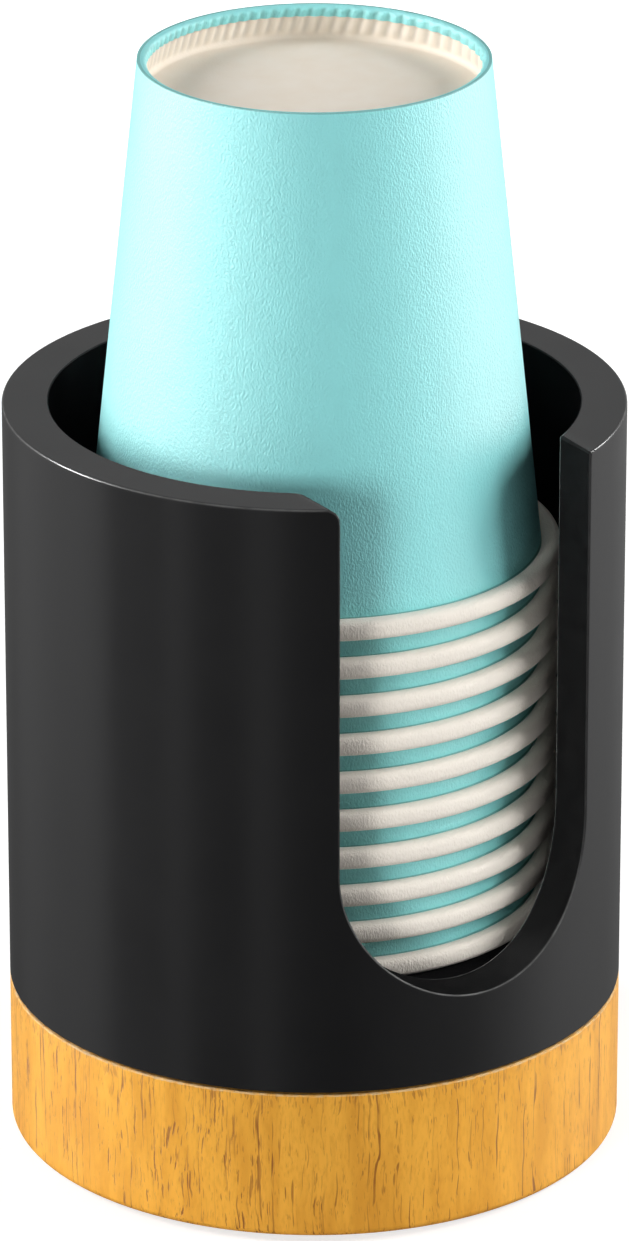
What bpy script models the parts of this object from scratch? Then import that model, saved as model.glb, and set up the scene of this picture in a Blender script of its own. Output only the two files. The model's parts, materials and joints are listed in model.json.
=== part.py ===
"""Countertop cup dispenser: a slotted round holder on a wooden base, with a nested stack of paper cups.

Lengths are in metres. +Z is up and the slot faces -Y. The origin is under the holder's centre, on the
surface that its feet stand on. The cups are upside down, and cup_01 is the lowest and innermost.
"""

import math

import bmesh
import bpy

# Clearances
CONTACT_GAP = 0.0003
PAPER_GAP = 0.00012
CUT_OVERRUN = 0.002

# Paper cup
CUP_COUNT = 10
CUP_HEIGHT = 0.07105
CUP_BASE_RADIUS = 0.02378
CUP_WALL_ANGLE = math.radians(6.0)
LIP_ROLL_RADIUS = 0.00145
SIDEWALL_THICKNESS = 0.00028
BOTTOM_THICKNESS = 0.0003
FOLD_DEPTH = 0.0016

# Angles round the lip's roll, in degrees anticlockwise from straight out
LIP_TOP_ANGLE = 90.0
LIP_INNER_ANGLE = -150.0
WALL_MEETS_LIP_ANGLE = 30.0

# Holder body
BODY_WALL = 0.0063
WELL_CLEARANCE = 0.0025
BODY_FLOOR_THICKNESS = 0.0118
RIM_HEADROOM = 0.00165
RIM_OUTER_ROUND = 0.0006
RIM_INNER_ROUND = 0.0008

# Finger slot, with the holder seen from its front
SLOT_WIDTH = 0.0394
SLOT_SILL = 0.0003
SLOT_LEFT_CORNER_ROUND = 0.002
SLOT_RIGHT_CORNER_ROUND = 0.0007

# Wooden base
BASE_THICKNESS = 0.0214
BASE_EDGE_ROUND = 0.0012
SPIGOT_LAND = 0.0125
SPIGOT_HEIGHT = 0.0025

# Screws, up through the base into the body's floor
SCREW_COUNT = 3
FIRST_SCREW_ANGLE = 90.0
SCREW_INSET = 0.007
SCREW_SHANK_RADIUS = 0.0017
SCREW_HEAD_RADIUS = 0.0033
SCREW_HEAD_HEIGHT = 0.0022
SCREW_CLEARANCE = 0.0004
COUNTERBORE_DEPTH = 0.009
SCREW_POINT = 0.002
SCREW_BITE_SHARE = 0.75
SCREW_CROWN_SHARE = 0.6

# Rubber feet
FOOT_COUNT = 4
FIRST_FOOT_ANGLE = 45.0
FOOT_INSET = 0.0095
FOOT_RADIUS = 0.005
FOOT_THICKNESS = 0.002
FOOT_STAND_PROUD = 0.0008
FOOT_EDGE_ROUND = 0.0003

# Facets round each turned piece
BODY_FACETS = 72
CUP_FACETS = 28
SMALL_FACETS = 20
ROUND_STEPS = 3
SLOT_STEPS = 24
CORNER_STEPS = 5
LIP_STEPS = 4

# The axis is this near before Screw joins the points that lie on it
AXIS_MERGE = 1e-06

# Finishes: colour, roughness and metallic value
SATIN_BLACK = ((0.012, 0.012, 0.013, 1.0), 0.38, 0.0)
HONEY_WOOD = ((0.72, 0.36, 0.10, 1.0), 0.45, 0.0)
ZINC_STEEL = ((0.55, 0.56, 0.58, 1.0), 0.35, 1.0)
GREY_RUBBER = ((0.05, 0.05, 0.05, 1.0), 0.8, 0.0)
AQUA_PAPER = ((0.30, 0.75, 0.72, 1.0), 0.6, 0.0)
CREAM_BOARD = ((0.84, 0.79, 0.70, 1.0), 0.7, 0.0)

# Sizes that follow from the ones above
SLOPE = math.tan(CUP_WALL_ANGLE)
SIDEWALL_ACROSS = SIDEWALL_THICKNESS / math.cos(CUP_WALL_ANGLE)
LIP_CENTRE_RADIUS = (
    CUP_BASE_RADIUS + SLOPE * (CUP_HEIGHT - LIP_ROLL_RADIUS) - SIDEWALL_ACROSS + LIP_ROLL_RADIUS
)
LIP_OUTER_RADIUS = LIP_CENTRE_RADIUS + LIP_ROLL_RADIUS
NEST_PITCH = (SIDEWALL_ACROSS + CONTACT_GAP) / SLOPE
RECESS_DEPTH = NEST_PITCH - CONTACT_GAP - BOTTOM_THICKNESS

WELL_RADIUS = LIP_OUTER_RADIUS + WELL_CLEARANCE
BODY_RADIUS = WELL_RADIUS + BODY_WALL
SPIGOT_RADIUS = BODY_RADIUS - SPIGOT_LAND

BASE_BOTTOM_Z = FOOT_STAND_PROUD
BASE_TOP_Z = BASE_BOTTOM_Z + BASE_THICKNESS
BODY_BOTTOM_Z = BASE_TOP_Z + CONTACT_GAP
SPIGOT_TOP_Z = BASE_TOP_Z + SPIGOT_HEIGHT
SPIGOT_RECESS_Z = SPIGOT_TOP_Z + CONTACT_GAP
FLOOR_Z = BODY_BOTTOM_Z + BODY_FLOOR_THICKNESS
RIM_Z = FLOOR_Z + CUP_HEIGHT + RIM_HEADROOM

SCREW_CIRCLE_RADIUS = SPIGOT_RADIUS - SCREW_INSET
SCREW_SEAT_Z = BASE_BOTTOM_Z + COUNTERBORE_DEPTH
SCREW_TIP_Z = SPIGOT_RECESS_Z + SCREW_BITE_SHARE * (FLOOR_Z - SPIGOT_RECESS_Z)
FOOT_CIRCLE_RADIUS = BODY_RADIUS - FOOT_INSET


def clear_scene():
    for obj in list(bpy.data.objects):
        bpy.data.objects.remove(obj, do_unlink=True)


def new_collection(name):
    collection = bpy.data.collections.new(name)
    bpy.context.scene.collection.children.link(collection)
    return collection


def new_material(name, colour, roughness, metallic):
    material = bpy.data.materials.new(name)
    material.use_nodes = True
    shader = material.node_tree.nodes["Principled BSDF"]
    shader.inputs["Base Color"].default_value = colour
    shader.inputs["Roughness"].default_value = roughness
    shader.inputs["Metallic"].default_value = metallic
    material.diffuse_color = colour
    return material


def new_object(name, data, collection, material=None, parent=None, place=(0, 0, 0)):
    obj = bpy.data.objects.new(name, data)
    collection.objects.link(obj)
    obj.location = place
    obj.parent = parent
    if material:
        data.materials.append(material)
    return obj


def as_cutter(obj):
    obj.hide_render = True
    obj.display_type = "WIRE"


def arc(centre_x, centre_z, radius, start, end, steps):
    """Points from angle start to angle end, in degrees anticlockwise from +X."""
    angles = [math.radians(start + (end - start) * i / steps) for i in range(steps + 1)]
    return [(centre_x + radius * math.cos(a), centre_z + radius * math.sin(a)) for a in angles]


def profile_mesh(name, points, closed):
    """A line of edges in the XZ plane for Screw to turn. It runs down the outer side of its shape."""
    count = len(points)
    edges = [(i, (i + 1) % count) for i in range(count if closed else count - 1)]
    mesh = bpy.data.meshes.new(name)
    mesh.from_pydata([(x, 0, z) for x, z in points], edges, [])
    return mesh


def turned(name, points, facets, collection, material=None, closed=False, parent=None, place=(0, 0, 0)):
    """A profile turned about Z. An open profile starts and ends on the axis."""
    obj = new_object(name, profile_mesh(name, points, closed), collection, material, parent, place)
    screw = obj.modifiers.new("Turn", "SCREW")
    screw.axis = "Z"
    screw.angle = math.tau
    screw.steps = facets
    screw.render_steps = facets
    screw.use_merge_vertices = True
    screw.merge_threshold = AXIS_MERGE
    screw.use_smooth_shade = False
    return obj


def cut(obj, cutter):
    boolean = obj.modifiers.new("Cut " + cutter.name, "BOOLEAN")
    boolean.operation = "DIFFERENCE"
    boolean.solver = "EXACT"
    boolean.object = cutter


def on_circle(count, radius, first_angle):
    """Places evenly round a circle, as (x, y). The first is at first_angle degrees from +X."""
    angles = [math.radians(first_angle) + math.tau * i / count for i in range(count)]
    return [(radius * math.cos(a), radius * math.sin(a)) for a in angles]


def screw_places():
    return on_circle(SCREW_COUNT, SCREW_CIRCLE_RADIUS, FIRST_SCREW_ANGLE)


def foot_places():
    return on_circle(FOOT_COUNT, FOOT_CIRCLE_RADIUS, FIRST_FOOT_ANGLE)


def slot_outline():
    """The finger slot seen from the front: a half circle below, straight sides, and rounded top corners."""
    half = SLOT_WIDTH / 2
    top = RIM_Z + CUT_OVERRUN
    left, right = SLOT_LEFT_CORNER_ROUND, SLOT_RIGHT_CORNER_ROUND
    points = arc(0, FLOOR_Z + SLOT_SILL + half, half, 180, 360, SLOT_STEPS)
    points += arc(half + right, RIM_Z - right, right, 180, 90, CORNER_STEPS)
    points += [(half + right, top), (-half - left, top)]
    points += arc(-half - left, RIM_Z - left, left, 90, 0, CORNER_STEPS)
    return points


def slot_cutter(cutters):
    """A bar with the slot's outline, which reaches from the well out through the front wall."""
    curve = bpy.data.curves.new("slot_outline", "CURVE")
    curve.dimensions = "2D"
    curve.fill_mode = "BOTH"
    curve.extrude = WELL_RADIUS / 2
    spline = curve.splines.new("POLY")
    points = slot_outline()
    spline.points.add(len(points) - 1)
    for point, (x, z) in zip(spline.points, points):
        point.co = (x, z, 0, 1)
    spline.use_cyclic_u = True
    middle = -BODY_RADIUS - CUT_OVERRUN + curve.extrude
    guide = new_object("slot_guide", curve, cutters, place=(0, middle, 0))
    guide.rotation_euler.x = math.radians(90)
    bpy.context.view_layer.update()
    graph = bpy.context.evaluated_depsgraph_get()
    mesh = bpy.data.meshes.new_from_object(guide.evaluated_get(graph))
    bar = bmesh.new()
    bar.from_mesh(mesh)
    bmesh.ops.remove_doubles(bar, verts=bar.verts, dist=AXIS_MERGE)
    bmesh.ops.recalc_face_normals(bar, faces=bar.faces)
    bar.to_mesh(mesh)
    bar.free()
    cutter = new_object("slot_cutter", mesh, cutters)
    cutter.matrix_world = guide.matrix_world
    bpy.data.objects.remove(guide)
    as_cutter(cutter)
    return cutter


def hole_cutter(name, place, steps, bottom, cutters, parent):
    """A round cutter from bottom up. Each step is the radius and the height that it reaches, widest first."""
    points = [(0, bottom)]
    for radius, top in steps:
        points += [(radius, points[-1][1]), (radius, top)]
    points += [(0, points[-1][1])]
    cutter = turned(name, points[::-1], SMALL_FACETS, cutters, parent=parent, place=(*place, 0))
    as_cutter(cutter)
    return cutter


def holder_body(parts, cutters, material, parent):
    """The black body: a thick wall and a solid floor turned as one, then the finger slot cut."""
    inner, outer = RIM_INNER_ROUND, RIM_OUTER_ROUND
    points = [(0, FLOOR_Z), (WELL_RADIUS, FLOOR_Z)]
    points += arc(WELL_RADIUS + inner, RIM_Z - inner, inner, 180, 90, ROUND_STEPS)
    points += arc(BODY_RADIUS - outer, RIM_Z - outer, outer, 90, 0, ROUND_STEPS)
    points += [(BODY_RADIUS, BODY_BOTTOM_Z)]
    recess_radius = SPIGOT_RADIUS + CONTACT_GAP
    points += [(recess_radius, BODY_BOTTOM_Z), (recess_radius, SPIGOT_RECESS_Z), (0, SPIGOT_RECESS_Z)]
    body = turned("holder_body", points, BODY_FACETS, parts, material, parent=parent)
    cut(body, slot_cutter(cutters))
    pilot = [(SCREW_SHANK_RADIUS + CONTACT_GAP, SCREW_TIP_Z + CONTACT_GAP)]
    below = SPIGOT_RECESS_Z - CUT_OVERRUN
    for number, place in enumerate(screw_places(), 1):
        cut(body, hole_cutter(f"pilot_{number}", place, pilot, below, cutters, parent))
    return body


def wood_base(parts, cutters, material, parent):
    """The turned wooden base: its spigot sits in the body, and its underside takes the screws and the feet."""
    edge = BASE_EDGE_ROUND
    points = [(0, SPIGOT_TOP_Z), (SPIGOT_RADIUS, SPIGOT_TOP_Z), (SPIGOT_RADIUS, BASE_TOP_Z)]
    points += [(BODY_RADIUS, BASE_TOP_Z)]
    points += arc(BODY_RADIUS - edge, BASE_BOTTOM_Z + edge, edge, 0, -90, ROUND_STEPS)
    points += [(0, BASE_BOTTOM_Z)]
    base = turned("wood_base", points, BODY_FACETS, parts, material, parent=parent)
    below = BASE_BOTTOM_Z - CUT_OVERRUN
    screw_steps = [(SCREW_HEAD_RADIUS + SCREW_CLEARANCE, SCREW_SEAT_Z + CONTACT_GAP)]
    screw_steps += [(SCREW_SHANK_RADIUS + SCREW_CLEARANCE, SPIGOT_TOP_Z + CUT_OVERRUN)]
    for number, place in enumerate(screw_places(), 1):
        cut(base, hole_cutter(f"screw_hole_{number}", place, screw_steps, below, cutters, parent))
    recess = [(FOOT_RADIUS + CONTACT_GAP, FOOT_THICKNESS + CONTACT_GAP)]
    for number, place in enumerate(foot_places(), 1):
        cut(base, hole_cutter(f"foot_recess_{number}", place, recess, below, cutters, parent))
    return base


def base_screws(parts, material, parent):
    """Pan-head wood screws, head down in their counterbores."""
    shank, head = SCREW_SHANK_RADIUS, SCREW_HEAD_RADIUS
    head_bottom = SCREW_SEAT_Z - SCREW_HEAD_HEIGHT
    points = [(0, SCREW_TIP_Z), (shank, SCREW_TIP_Z - SCREW_POINT), (shank, SCREW_SEAT_Z)]
    points += [(head, SCREW_SEAT_Z), (head, SCREW_SEAT_Z - SCREW_HEAD_HEIGHT / 2)]
    points += [(head * SCREW_CROWN_SHARE, head_bottom), (0, head_bottom)]
    for number, (x, y) in enumerate(screw_places(), 1):
        turned(f"base_screw_{number}", points, SMALL_FACETS, parts, material, parent=parent, place=(x, y, 0))


def rubber_feet(parts, material, parent):
    """Round feet glued in shallow recesses of the base."""
    edge = FOOT_EDGE_ROUND
    points = [(0, FOOT_THICKNESS), (FOOT_RADIUS, FOOT_THICKNESS), (FOOT_RADIUS, edge)]
    points += [(FOOT_RADIUS - edge, 0), (0, 0)]
    for number, (x, y) in enumerate(foot_places(), 1):
        turned(f"foot_{number}", points, SMALL_FACETS, parts, material, parent=parent, place=(x, y, 0))


def wall_radius(below_rim, layers_in=0.0):
    """Radius of the cup's outer surface at a depth below its rim, less the layers that lie outside."""
    return CUP_BASE_RADIUS + SLOPE * below_rim - layers_in


def cup_sidewall(name, parts, material, parent):
    """The wrapped sidewall: folded in at its top over the bottom's skirt, and rolled out at its mouth."""
    rim = CUP_HEIGHT
    roll = LIP_ROLL_RADIUS
    flap_outside = SIDEWALL_ACROSS + PAPER_GAP + BOTTOM_THICKNESS + PAPER_GAP
    flap_inside = flap_outside + SIDEWALL_ACROSS
    meets_lip = rim - roll * (1 + math.sin(math.radians(WALL_MEETS_LIP_ANGLE)))
    points = [(wall_radius(0, flap_inside), rim), (wall_radius(0), rim)]
    points += [(wall_radius(meets_lip), rim - meets_lip)]
    points += arc(LIP_CENTRE_RADIUS, roll, roll, LIP_TOP_ANGLE, LIP_INNER_ANGLE, LIP_STEPS)
    points += [(wall_radius(rim - roll, SIDEWALL_ACROSS), roll)]
    fold = SIDEWALL_THICKNESS
    points += [(wall_radius(fold, SIDEWALL_ACROSS), rim - fold)]
    points += [(wall_radius(fold, flap_outside), rim - fold)]
    points += [(wall_radius(FOLD_DEPTH, flap_outside), rim - FOLD_DEPTH)]
    points += [(wall_radius(FOLD_DEPTH, flap_inside), rim - FOLD_DEPTH)]
    return turned(name, points, CUP_FACETS, parts, material, closed=True, parent=parent)


def cup_bottom(name, parts, material, parent):
    """The bottom disc and its skirt, which runs up between the sidewall and the sidewall's fold."""
    rim = CUP_HEIGHT
    outside = SIDEWALL_ACROSS + PAPER_GAP
    inside = outside + BOTTOM_THICKNESS
    skirt_top = SIDEWALL_THICKNESS + PAPER_GAP
    underside = RECESS_DEPTH + BOTTOM_THICKNESS
    points = [(0, rim - RECESS_DEPTH), (wall_radius(RECESS_DEPTH, inside), rim - RECESS_DEPTH)]
    points += [(wall_radius(skirt_top, inside), rim - skirt_top)]
    points += [(wall_radius(skirt_top, outside), rim - skirt_top)]
    points += [(wall_radius(underside, outside), rim - underside), (0, rim - underside)]
    return turned(name, points, CUP_FACETS, parts, material, parent=parent)


def cup_stack(parts, sidewall_material, bottom_material, parent):
    """The nested cups. Each is on an empty at its mouth, whose parent is the cup below."""
    carrier, place = parent, (0, 0, FLOOR_Z + CONTACT_GAP)
    for number in range(1, CUP_COUNT + 1):
        carrier = new_object(f"cup_{number:02d}", None, parts, parent=carrier, place=place)
        cup_sidewall(f"cup_{number:02d}_sidewall", parts, sidewall_material, carrier)
        cup_bottom(f"cup_{number:02d}_bottom", parts, bottom_material, carrier)
        place = (0, 0, NEST_PITCH)


def main():
    clear_scene()
    parts = new_collection("cup_dispenser")
    cutters = new_collection("cutters")
    black = new_material("satin_black", *SATIN_BLACK)
    wood = new_material("honey_wood", *HONEY_WOOD)
    steel = new_material("zinc_steel", *ZINC_STEEL)
    rubber = new_material("grey_rubber", *GREY_RUBBER)
    aqua = new_material("aqua_paper", *AQUA_PAPER)
    cream = new_material("cream_board", *CREAM_BOARD)
    holder = new_object("holder", None, parts)
    holder_body(parts, cutters, black, holder)
    wood_base(parts, cutters, wood, holder)
    base_screws(parts, steel, holder)
    rubber_feet(parts, rubber, holder)
    cup_stack(parts, aqua, cream, holder)


main()
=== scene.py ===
"""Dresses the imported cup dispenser: a satin black holder on a grained wooden base, with nested paper cups.

Lengths are in metres, +Z is up and the finger slot faces -Y. The frame gives the places. Angles round the
holder are measured from -Y towards +X, so the slot's middle is at 0 and the back is at half a turn.
"""

import math
from functools import partial

import bpy
import numpy as np
from bpy.props import FloatProperty, FloatVectorProperty, IntProperty, PointerProperty
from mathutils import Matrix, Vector
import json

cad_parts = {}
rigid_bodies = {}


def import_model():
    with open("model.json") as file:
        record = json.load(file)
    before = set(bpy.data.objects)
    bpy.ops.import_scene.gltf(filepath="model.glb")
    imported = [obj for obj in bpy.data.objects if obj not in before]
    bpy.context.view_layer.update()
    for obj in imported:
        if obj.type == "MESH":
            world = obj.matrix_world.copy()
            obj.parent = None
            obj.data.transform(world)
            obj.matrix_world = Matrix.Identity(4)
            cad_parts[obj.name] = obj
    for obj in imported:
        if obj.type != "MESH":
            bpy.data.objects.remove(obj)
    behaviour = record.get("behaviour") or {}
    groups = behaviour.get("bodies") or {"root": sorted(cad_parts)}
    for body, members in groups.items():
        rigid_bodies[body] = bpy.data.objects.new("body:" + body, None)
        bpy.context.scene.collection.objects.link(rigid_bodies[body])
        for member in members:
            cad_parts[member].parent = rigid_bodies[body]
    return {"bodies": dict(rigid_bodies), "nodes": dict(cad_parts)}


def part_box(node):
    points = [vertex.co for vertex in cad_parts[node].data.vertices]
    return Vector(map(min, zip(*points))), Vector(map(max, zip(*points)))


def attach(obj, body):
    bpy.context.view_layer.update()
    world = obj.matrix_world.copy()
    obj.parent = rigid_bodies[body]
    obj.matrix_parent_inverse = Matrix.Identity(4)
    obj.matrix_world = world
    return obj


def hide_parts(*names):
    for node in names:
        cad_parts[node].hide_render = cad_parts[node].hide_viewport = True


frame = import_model()

bl_info = {
    "name": "Cup Dispenser",
    "version": (1, 0, 0),
    "blender": (4, 5, 0),
    "location": "3D View > Sidebar > Cup Dispenser",
    "description": "Builds the finished surfaces of a countertop dispenser for paper cups",
    "category": "Object",
}

MM = 0.001

# Places that the frame gives
HOLDER = "holder"
HOLDER_LOW, HOLDER_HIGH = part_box("holder_body")
BASE_LOW, BASE_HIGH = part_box("wood_base")
CUPS = sorted(name for name in frame["bodies"] if name.startswith("cup_"))
FEET = sorted(name for name in frame["nodes"] if name.startswith("foot_"))
SCREWS = sorted(name for name in frame["nodes"] if name.startswith("base_screw_"))
LOWEST_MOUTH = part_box(CUPS[0] + "_sidewall")[0].z

# Rows of points this far apart keep a corner sharp
TINY = 0.05 * MM
# Heights that differ by less than this are the same
HAIR = 0.001 * MM
# An edge is level where the Z of its normal is over this
LEVEL = 0.999
# Points along half of the slot's round foot, one of its sides, its top corner and half of the rim
FOOT_POINTS, SIDE_POINTS, CORNER_POINTS, RIM_POINTS = 34, 26, 9, 125
# Degrees from the slot's middle at which the wall's upper edge has taken on the rim's rounds
RIM_STARTS_AT = 28.0
# Share of the painted highlight across the round of the wall's inner edge, from the well up, and of its outer
# edge
INNER_HIGHLIGHT = np.array([0.0, 0.0, 0.2, 0.8, 1.0, 0.0])
OUTER_HIGHLIGHT = np.array([0.0, 0.1, 0.9, 0.9, 0.1, 0.0])
# Least roughness of the rim's inner edge and of the slot's right corner, which mirror no lamp
DULL = 0.85
# Rows of the base's raw edge: how far in and down, in widths of the edge, and how bare and how ragged it is
RAW_EDGE = (
    (1.05, 0.0, 1.0, 0.0), (0.9, 0.0, 1.0, 1.0), (0.5, 0.13, 1.0, 1.0), (0.15, 0.45, 1.0, 1.0),
    (0.0, 0.9, 1.0, 1.0), (0.0, 1.05, 0.0, 1.0),
)
# The ribs of a cup's closed end crowd together at this angle
RIB_CROWDED_AT = math.radians(237.5)


def number(name, description, default, **limits):
    return FloatProperty(name=name, description=description, default=default, **limits)


def length(name, description, millimetres):
    return number(name, description, millimetres * MM, min=0.0, precision=5, unit="LENGTH")


def angle(name, description, degrees):
    return number(name, description, math.radians(degrees), subtype="ANGLE", unit="ROTATION")


def share(name, description, default):
    return number(name, description, default, min=0.0, max=1.0, subtype="FACTOR")


def power(name, description, default):
    return number(name, description, default, min=0.0, unit="POWER")


def colour(name, description, default):
    return FloatVectorProperty(
        name=name, description=description, default=default, size=3, min=0.0, max=1.0, subtype="COLOR"
    )


class HolderSettings(bpy.types.PropertyGroup):
    """Sizes and finish of the black holder body"""

    well_radius: length("Well radius", "Inner radius of the wall", 36.21)
    floor_gap: length("Floor gap", "Space under the lowest cup's lip", 0.3)
    slot_width: length("Slot width", "Width of the finger slot", 39.4)
    slot_sill: length("Slot sill", "Height of the slot's foot over the floor", 0.3)
    left_corner: length("Left corner", "Round of the slot's left top corner", 2.0)
    right_corner: length("Right corner", "Round of the slot's right top corner", 0.35)
    rim_outer_round: length("Rim outer round", "Edge round outside the rim", 0.38)
    rim_inner_round: length("Rim inner round", "Edge round inside the rim", 0.2)
    slot_round: length("Slot edge round", "Edge round along the slot", 0.3)
    foot_round: length("Foot round", "Edge round at the seam with the base", 0.3)
    recess_radius: length("Recess radius", "Radius of the recess for the base's spigot", 30.31)
    recess_depth: length("Recess depth", "Depth of the recess for the base's spigot", 2.5)
    colour: colour("Colour", "Colour of the satin black", (0.008, 0.008, 0.0085))
    # The painted highlight: a pale colour painted along the edges where they would catch light
    edge_highlight: colour("Worn edge", "Colour of the rubbed edges", (0.60, 0.60, 0.59))
    roughness: share("Roughness", "Roughness of the satin black", 0.25)


class BaseSettings(bpy.types.PropertyGroup):
    """Sizes and finish of the wooden base"""

    top: length("Top", "Height of the face that the body stands on", 22.2)
    spigot_radius: length("Spigot radius", "Radius of the spigot in the body's recess", 30.01)
    edge_round: length("Edge round", "Round of the lower edge", 1.2)
    chip: length("Raw edge", "Width of the raw, ragged edge at the seam", 0.24)
    foot_gap: length("Foot gap", "Space round a foot in its recess", 0.3)
    screw_bore: length("Screw bore", "Radius of the counterbores for the screw heads", 3.7)
    shank_bore: length("Shank bore", "Radius of the holes for the screws' shanks", 2.1)
    golden: colour("Golden wood", "Main colour of the wood", (0.92, 0.45, 0.052))
    amber: colour("Amber wood", "Colour of the darker figure", (0.70, 0.305, 0.026))
    streak: colour("Streaks", "Colour of the dark grain", (0.21, 0.052, 0.010))
    raw: colour("Raw edge colour", "Colour of the bare edge at the seam", (0.66, 0.46, 0.24))


class CupSettings(bpy.types.PropertyGroup):
    """Sizes and finish of the paper cups"""

    base_radius: length("Base radius", "Outer radius at the closed end", 23.78)
    wall_angle: angle("Wall angle", "Slope of the wall from the axis", 6.0)
    paper: length("Paper", "Thickness of the sidewall's paper", 0.28)
    board: length("Board", "Thickness of the bottom's board", 0.3)
    layer_gap: length("Layer gap", "Space between folded layers", 0.12)
    roll: length("Lip roll", "Radius of the rolled lip", 1.45)
    fold: length("Fold", "Depth of the sidewall's fold at the closed end", 1.6)
    recess: length("Recess", "Depth of the bottom inside the closed end", 4.93)
    rib_count: IntProperty(name="Ribs", description="Crimped ribs round the closed end", default=82, min=8)
    rib_depth: length("Rib depth", "Depth of the crimped ribs", 0.30)
    rib_lean: angle("Rib lean", "Lean of the crimped ribs", 16.0)
    rib_drift: number("Rib drift", "How unevenly the ribs are spaced", 24.0, min=0.0)
    # Sets the shape of the crest's crease; the dark line along it is painted
    crease_width: length("Crease width", "Width of the dark crease round the closed end", 0.45)
    seam_step: length("Seam step", "Step of the glued side seam", 0.14)
    seam_width: angle("Seam width", "Width of the glued side seam", 12.0)
    aqua: colour("Aqua print", "Colour of the print outside", (0.295, 0.77, 0.775))
    cream: colour("Cream paper", "Colour of the bare paper", (0.955, 0.885, 0.79))
    # The dark teal painted as a dark line along the crest, as painted shade in the crevice over the lip and
    # as painted shade in the grooves between the ribs
    dark_line_and_shade: colour("Crease", "Colour of the print along the sharp crease", (0.18, 0.48, 0.47))


class FixingSettings(bpy.types.PropertyGroup):
    """Sizes and finish of the screws and the feet"""

    cross_width: length("Cross width", "Width of the arms of the screws' cross recess", 0.75)
    cross_reach: length("Cross reach", "Reach of the arms of the screws' cross recess", 1.9)
    cross_depth: length("Cross depth", "Depth of the screws' cross recess", 1.1)
    shank_radius: length("Shank radius", "Radius of the screws' shanks", 1.7)
    head_height: length("Head height", "Height of the screws' heads", 2.2)
    zinc: colour("Zinc", "Colour of the plated screws", (0.55, 0.56, 0.57))
    rubber: colour("Rubber", "Colour of the feet", (0.035, 0.035, 0.036))


class StageSettings(bpy.types.PropertyGroup):
    """The camera, the lamps and the floor"""

    azimuth: angle("View azimuth", "Camera's direction, measured from -Y towards +X", -32.45)
    elevation: angle("View elevation", "Camera's height over the horizontal", 22.05)
    distance: length("View distance", "From the camera to what it looks at", 1125)
    target: length("View height", "Height of the point that the camera looks at", 74.2)
    lens: number("Lens", "Focal length", 237.5, min=1.0, unit="CAMERA")
    side_power: power("Side lamps", "Power of each lamp beside the object", 5.2)
    key_power: power("Key lamp", "Power of the lamp in front, left of the camera", 3.75)
    edge_power: power("Edge lamps", "Power of each lamp behind, which only the edges' gloss mirrors", 12.0)
    top_power: power("Top lamp", "Power of the lamp overhead, behind the object", 0.3)
    gloss_power: power("Gloss lamps", "Power of each lamp that only paper and wood mirror, softly", 24.0)
    base_power: power("Base lamps", "Power of the right lamp of the two that light only the base", 2.2)
    room: share("Room light", "Strength of the light from all round", 0.036)
    floor: share("Floor", "Brightness of the floor", 0.5)


def smooth_step(low, high, value):
    """0 below low, 1 above high, and an even S between them."""
    t = np.clip((value - low) / (high - low), 0.0, 1.0)
    return t * t * (3.0 - 2.0 * t)


def arc(centre, radius, start, end, steps):
    """Points (radius, height) of an arc, from start to end in degrees anticlockwise from outward."""
    turn = np.radians(np.linspace(start, end, steps + 1))
    return np.stack([centre[0] + radius * np.cos(turn), centre[1] + radius * np.sin(turn)], axis=1)


def line(start, end, steps):
    """Points from start to end, without end itself."""
    t = np.linspace(0.0, 1.0, steps, endpoint=False)[:, None]
    return (1.0 - t) * np.asarray(start) + t * np.asarray(end)


def on_circle(radius, turn, height):
    """Points at a radius, an angle from -Y towards +X and a height, which broadcast together."""
    radius, turn, height = np.broadcast_arrays(radius, turn, height)
    return np.stack([radius * np.sin(turn), -radius * np.cos(turn), height], axis=-1)


def surface_mesh(name, points, first=None, last=None, ring=False, layers=None, normals=None):
    """A mesh over a grid of points, rows by columns, that closes round its columns.

    The rows run up the inner side of the shape, over its top and down its outer side, so that the faces point
    out. first and last are the points that close the ends, or ring joins the last row to the first. layers
    gives a value to each point of the grid, and normals gives the shading normal at each.
    """
    rows, columns = points.shape[:2]
    index = np.arange(rows * columns).reshape(rows, columns)
    upper = index if ring else index[:-1]
    lower = np.roll(index, -1, axis=0) if ring else index[1:]
    around = [lower, np.roll(lower, -1, axis=1), np.roll(upper, -1, axis=1), upper]
    faces = np.stack(around, axis=-1).reshape(-1, 4).tolist()
    co, ends = [points.reshape(-1, 3)], []
    for pole, row, way in ((first, index[0], 1), (last, index[-1], -1)):
        if pole is not None:
            middle = np.full(columns, rows * columns + len(ends))
            faces += np.stack([middle, row, np.roll(row, -1)], axis=-1)[:, ::way].tolist()
            co.append([pole])
            ends.append((0.0, 0.0, way))
    co = np.concatenate(co)
    mesh = bpy.data.meshes.new(name)
    mesh.from_pydata(co, [], faces)
    for layer, values in (layers or {}).items():
        full = np.zeros(len(co), np.float32)
        full[: rows * columns] = np.broadcast_to(values, (rows, columns)).ravel()
        mesh.attributes.new(layer, "FLOAT", "POINT").data.foreach_set("value", full)
    mesh.shade_smooth()
    if normals is not None:
        full = [*normals.reshape(-1, 3).tolist(), *ends]
        mesh.normals_split_custom_set_from_vertices(full)
    return mesh


def turned_mesh(name, profile, turn, ends=(), centre=Vector(), shift=(0.0, 0.0), **rest):
    """A mesh of a profile of (radius, height), turned round centre and closed at the heights in ends.

    shift moves each point by (radius, height).
    """
    points = on_circle(profile[:, :1] + shift[0], turn, profile[:, 1:2] + shift[1])
    poles = [(centre.x, centre.y, height) for height in ends]
    return surface_mesh(name, points + (centre.x, centre.y, 0.0), *poles, **rest)


def new_object(name, data):
    """An object in the scene for a mesh, a lamp or a camera."""
    obj = bpy.data.objects.new(name, data)
    bpy.context.scene.collection.objects.link(obj)
    return obj


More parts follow.
